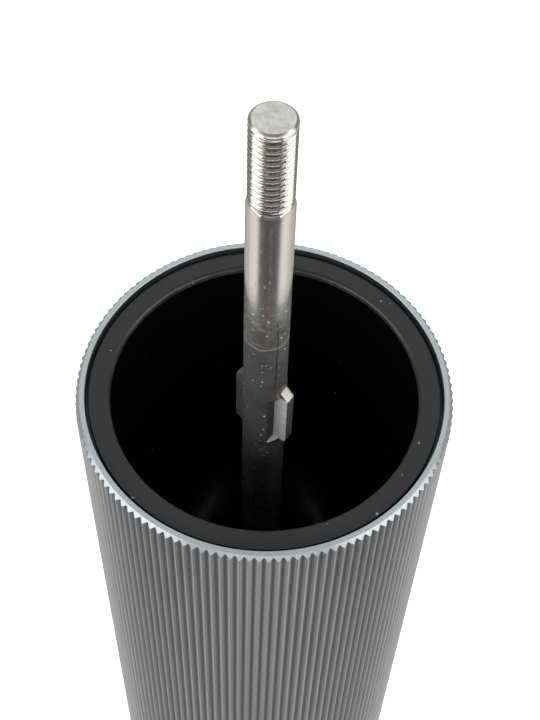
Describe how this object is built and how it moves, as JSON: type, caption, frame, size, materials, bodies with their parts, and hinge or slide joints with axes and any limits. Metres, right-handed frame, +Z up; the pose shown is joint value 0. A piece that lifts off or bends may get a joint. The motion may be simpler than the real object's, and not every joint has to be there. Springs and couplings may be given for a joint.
{
  "type": "pepper mill body with grinding spindle",
  "caption": "Tall fluted metal tube, open at the top, with a black collar inside the rim and a steel drive spindle that has two ears and a threaded end and turns a cone burr in the base.",
  "frame": {"origin": "middle of the footprint, on the table", "axes": "+Z up along the spindle, +X to the right seen from the front, +Y to the back"},
  "size_m": [0.055, 0.055, 0.2011],
  "materials": {
    "anodised_aluminium": "satin",
    "black_nylon": "satin",
    "gloss_black": "gloss",
    "black_rubber": "matte",
    "polished_steel": "polished",
    "spring_steel": "satin",
    "zinc_steel": "satin",
    "ceramic": "satin",
    "grey_acetal": "satin",
    "bronze": "satin"
  },
  "bodies": {
    "mill_body": {"fluted_sleeve": "anodised_aluminium", "rim_collar": "black_nylon", "collar_seal": "black_rubber", "chamber_liner": "gloss_black", "base_ring": "black_nylon", "base_seal": "black_rubber", "foot_ring": "black_rubber", "base_screws": "zinc_steel", "burr_housing": "black_nylon", "ring_burr": "ceramic", "burr_retainer": "grey_acetal", "grind_spring": "spring_steel", "bearing_spider": "black_nylon", "spider_screws": "zinc_steel", "spindle_bush": "bronze"},
    "spring_cage": {"spring_cage": "grey_acetal"},
    "spindle": {"spindle": "polished_steel", "cone_burr": "ceramic", "burr_core": "grey_acetal", "core_washer": "zinc_steel", "core_clip": "spring_steel", "thrust_washer": "zinc_steel", "stop_washer": "zinc_steel", "stop_clip": "spring_steel"}
  },
  "joints": [
    {"name": "grind_adjust", "type": "slide", "parent": "mill_body", "child": "spring_cage", "axis": [0, 0, 1], "range_m": [0, 0.0016], "stiffness_N_per_m": 1500, "springref_m": -0.003, "deforming": ["grind_spring"]},
    {"name": "spindle_turn", "type": "hinge", "parent": "spring_cage", "child": "spindle", "pos_m": [0, 0, 0.01494], "axis": [0, 0, 1], "continuous": true}
  ]
}
